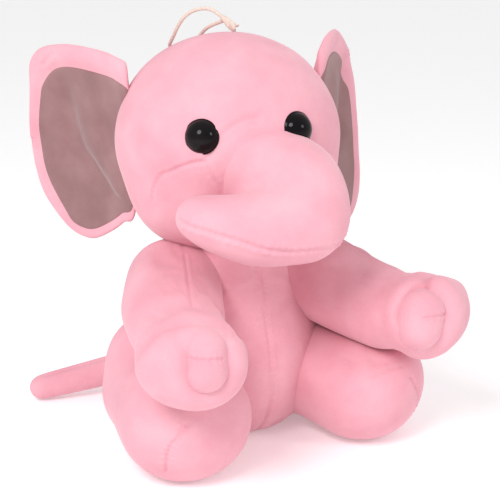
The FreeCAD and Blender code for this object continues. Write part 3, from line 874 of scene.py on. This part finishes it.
def ear_axes(side):
    along = np.array([side * math.cos(EAR_SWEEP), math.sin(EAR_SWEEP), 0])
    facing = np.array([side * math.sin(EAR_SWEEP), -math.cos(EAR_SWEEP), 0])
    return np.array([along, UP, facing]), EAR_ROOT * np.array([side, 1, 1])


EAR_OUTLINES = {
    "right": np.array([
        [-16, 47], [0, 51], [19, 53], [41.6, 54], [62, 50.5], [72, 41], [75, 28], [79.5, 2], [79, -14],
        [76.5, -30], [70, -46], [57, -60], [44, -68], [28, -70], [12, -63.5], [-3, -54], [-15, -42]]),
    "left": np.array([
        [-16, 52], [0, 61], [19, 62], [36, 56], [50, 46.5], [60, 34.5], [66, 20.4], [70, 3], [72, -14],
        [71.5, -30], [70, -45], [64, -59], [52, -69], [38, -72], [20, -68], [2, -57], [-15, -42]]),
}
# how far each ear slides up or down so that both hang level on the leaning head
EAR_LEVEL = 3.5
EAR_MIDDLE = np.array([34, -8])
# two creases in the hem, as two points of u and v, and the height at which they lie
EAR_PLEAT = ((49.5, 50.0), (59.5, 38.5), 6.0)
EAR_TUCK = ((72.0, -9.0), (82.0, -12.0), 5.0)


def ear_reach(angle, outline):
    """Distance from the ear's middle to an outline at an angle."""
    offsets = smooth_curve(np.vstack([outline, outline[:1]]), 360) - EAR_MIDDLE
    angles = np.arctan2(offsets[:, 1], offsets[:, 0]) % (2 * math.pi)
    order = np.argsort(angles)
    return np.interp(angle % (2 * math.pi), angles[order], np.linalg.norm(offsets, axis=1)[order],
                     period=2 * math.pi)


def lining_outline(outline):
    """The lining's outline: the pink hem is wide along the top and narrow below."""
    inner = outline.astype(float).copy()
    inner[:, 1] -= 14 * smooth_step(10, 45, outline[:, 1])
    inner[:, 1] += 6 * smooth_step(-15, -60, outline[:, 1])
    inner[:, 0] -= 8.5 * smooth_step(40, 70, outline[:, 0])
    return inner


def ear_dish(u, v):
    """How far the ear's middle surface stands towards the front."""
    rim = ((u - 34) / 46) ** 2 + ((v + 8) / 62) ** 2
    return 7 * (np.minimum(rim, 1.6) - 0.6)


def lining_fold(u, v):
    """The valley and the bulge beside it that run down the lining."""
    valley_u = np.interp(v, [-45, -27, -11, 5, 25, 45], [-6, 22, 40, 45, 49, 50])
    bulge_u = np.interp(v, [-30, -6, 13, 28, 45], [3, 21, 24, 17, 10])
    fade = smooth_step(44, 27, v) * smooth_step(-52, -35, v)
    return fade * (3.0 * np.exp(-((u - bulge_u) / 13) ** 2) - 4.0 * np.exp(-((u - valley_u) / 9) ** 2))


def ear_front(u, v, outline):
    """Front surface of the pink layer: the dish, its folds and a padded hem."""
    distance = np.hypot(u - EAR_MIDDLE[0], v - EAR_MIDDLE[1])
    angle = np.arctan2(v - EAR_MIDDLE[1], u - EAR_MIDDLE[0])
    share = np.minimum(distance / ear_reach(angle, outline), 1)
    hem = distance - ear_reach(angle, lining_outline(outline))
    puff = 1.5 * smooth_step(-1, 5, hem) * smooth_step(1, 0.93, share)
    return ear_dish(u, v) + lining_fold(u, v) + 2.6 * np.sqrt(np.maximum(1 - share ** 8, 0)) + puff


# the CAD nodes that each layer of an ear stands for
EAR_LAYERS = {"back": ("back", "wadding"), "lining": ("lining",)}


def make_ear(name, side, pink, grey):
    axes, root = ear_axes(side)
    directions, faces = cube_ball(30)
    angle = np.arctan2(directions[:, 1], directions[:, 0])
    share = np.arcsin(np.clip(np.hypot(directions[:, 0], directions[:, 1]), 0, 1)) / (math.pi / 2)
    in_front = directions[:, 2] > 0
    whole = EAR_OUTLINES[name]

    def place(u, v, w):
        return from_head(np.stack(np.broadcast_arrays(u, v - side * EAR_LEVEL, w), axis=-1) @ axes + root)

    for layer, nodes in EAR_LAYERS.items():
        is_lining = layer == "lining"
        outline = lining_outline(whole) if is_lining else whole
        reach = ear_reach(angle, outline)
        u = EAR_MIDDLE[0] + np.cos(angle) * reach * share
        v = EAR_MIDDLE[1] + np.sin(angle) * reach * share
        profile = np.sqrt(np.maximum(1 - share ** 6, 0))
        front = ear_front(u, v, whole)
        if is_lining:
            w = np.where(in_front, front + 0.5 + 0.8 * profile, front - 0.6)
        else:
            w = np.where(in_front, front, ear_dish(u, v) - profile * (5 + 4 * (1 - share ** 2)))
        ordered = [face[::-1] for face in faces] if side < 0 else faces
        ear = make_mesh(f"{name}_ear_{layer}_skin", place(u, v, w), ordered, grey if is_lining else pink)
        subdivide(ear, 1)
        if not is_lining:
            for (start, end, height), depth, width in ((EAR_PLEAT, 1.3, 1.3), (EAR_TUCK, 1.0, 1.2)):
                u_ends, v_ends = np.array([start, end]).T
                carve(ear, place(u_ends, v_ends, height), depth=depth, width=width)
        sew([f"{name}_ear_{node}" for node in nodes])
        place(-6.0, 0.0, 0.0) * MM
        place(16.0, 0.0, 0.0) * MM
        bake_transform(ear)


# ---------------------------------------------------------------- eyes and loop


EYE_AZIMUTH = 25.6
EYE_ELEVATION = 11.8
EYE_RADIUS, EYE_HEIGHT, EYE_RIM = 9.4, 6.2, 0.8
EYE_BACK = -3


def eye_profile():
    """Distance from the middle and height, from the top of the dome over the rim to the back."""
    ball_radius = (EYE_RADIUS ** 2 + EYE_HEIGHT ** 2) / (2 * EYE_HEIGHT)
    angles = np.linspace(0, math.asin(EYE_RADIUS / ball_radius), 22)
    dome = [(ball_radius * math.sin(angle), ball_radius * math.cos(angle) + EYE_HEIGHT - ball_radius)
            for angle in angles]
    return dome + [(EYE_RADIUS + EYE_RIM * 0.75, -0.25), (EYE_RADIUS + EYE_RIM, -1.0),
                   (EYE_RADIUS + EYE_RIM * 0.6, -2.2), (EYE_RADIUS * 0.5, EYE_BACK)]


def turned(profile, turns):
    """Points and faces of a closed solid of revolution whose profile starts on the axis."""
    points = [[0, 0, profile[0][1]]]
    for distance, lift in profile[1:]:
        for k in range(turns):
            angle = 2 * math.pi * k / turns
            points.append([distance * math.cos(angle), distance * math.sin(angle), lift])
    points.append([0, 0, profile[-1][1]])
    faces = [[0, 1 + k, 1 + (k + 1) % turns] for k in range(turns)]
    rings = len(profile) - 1
    for ring in range(rings - 1):
        base = 1 + ring * turns
        for k in range(turns):
            step = (k + 1) % turns
            faces.append([base + k, base + turns + k, base + turns + step, base + step])
    last = 1 + (rings - 1) * turns
    faces += [[len(points) - 1, last + (k + 1) % turns, last + k] for k in range(turns)]
    return np.array(points), faces


def make_eye(name, side, black):
    azimuth = math.radians(EYE_AZIMUTH) * side
    elevation = math.radians(EYE_ELEVATION)
    out = HEAD_AXES @ np.array([math.sin(azimuth) * math.cos(elevation),
                                -math.cos(azimuth) * math.cos(elevation), math.sin(elevation)])
    surface = grow_surface(HEAD_CENTRE[None, :], out[None, :], head_field, 110)[0]
    points, faces = turned(eye_profile(), 64)
    eye = make_mesh(name + "_eye_button", points @ frame_along(out) + surface + out * 0.4, faces, black)
    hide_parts(name + "_eye")
    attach(eye, "head")


# The points of the cord's route in the CAD, and its length along them.
LOOP_ROUTE = [
    (1.6, 4.0, 251.8), (-3.4, 8.8, 258.4), (-10.4, 16.0, 258.8), (-16.4, 22.4, 254.4),
    (-19.6, 27.0, 247.2), (-20.4, 31.6, 240.6), (-20.2, 36.8, 236.4), (-18.6, 41.4, 233.8),
    (-14.5, 45.1, 232.5), (-8.9, 45.6, 232.7), (-4.4, 42.6, 234.2), (-2.9, 37.0, 236.9),
    (-3.6, 29.2, 240.4), (-5.2, 20.6, 244.6), (-4.0, 13.4, 248.4), (0.2, 5.9, 251.4)]
LOOP_DIAMETER = 2.3


def make_loop(cream):
    data = bpy.data.curves.new("hanging_loop_cord", "CURVE")
    data.dimensions = "3D"
    spline = data.splines.new("NURBS")
    spline.points.add(len(LOOP_ROUTE) - 1)
    for point, place in zip(spline.points, LOOP_ROUTE):
        point.co = (*(np.array(place) * MM), 1)
    spline.order_u = 3
    spline.use_endpoint_u = True
    data.bevel_depth = LOOP_DIAMETER / 2 * MM
    data.bevel_resolution = 6
    data.resolution_u = 12
    data.use_fill_caps = True
    data.materials.append(cream)
    loop = bpy.data.objects.new("hanging_loop_cord", data)
    bpy.context.scene.collection.objects.link(loop)
    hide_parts("hanging_loop")
    tuple(np.array(LOOP_ROUTE[0]) * MM)
    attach(loop, "head")


KNOT_FOOT = np.array([5.8, -0.6, 247.4])
KNOT_TOP = np.array([0.4, 5.2, 253.2])
STRAND_RADIUS = 1.35


def make_knot(cream):
    """The two ends of the cord, twisted together and pulled tight."""
    axes = frame_along(KNOT_TOP - KNOT_FOOT)
    share = np.linspace(0, 1, 12)[:, None]
    strands = []
    for turn in (0.0, 2 * math.pi / 3, 4 * math.pi / 3):
        angle = turn + share * 2.6
        spread = 1.7 - 0.8 * share
        offset = np.hstack([np.cos(angle) * spread, np.sin(angle) * spread, 0 * share]) @ axes
        middle = KNOT_FOOT + (KNOT_TOP - KNOT_FOOT) * share
        strands.append(np.hstack([middle + offset, 0 * share + STRAND_RADIUS]))

    def field(points):
        nearest = ball_chain(points, strands[0])
        for strand in strands[1:]:
            nearest = blend_min(nearest, ball_chain(points, strand), 0.5)
        return nearest

    spine = KNOT_FOOT + (KNOT_TOP - KNOT_FOOT) * np.linspace(0.08, 0.92, 8)[:, None]
    knot = grow_tube("hanging_loop_knot_cord", 16, spine, field, 8, cream)
    subdivide(knot, 1)
    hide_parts("hanging_loop_knot")
    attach(knot, "head")


def main():
    make_camera()
    cream = cord_material()
    make_loop(cream)
    make_knot(cream)
    make_studio()
    pink = velour_material("pink_velour", *PINK)
    grey = velour_material("grey_velour", *GREY)
    black = gloss_material()
    make_head(pink)
    make_trunk(pink)
    make_torso(pink)
    make_tail(pink)
    for name, side in SIDES.items():
        make_ear(name, side, pink, grey)
        make_arm(name, pink)
        make_leg(name, side, pink)
        make_eye(name, side, black)


main()
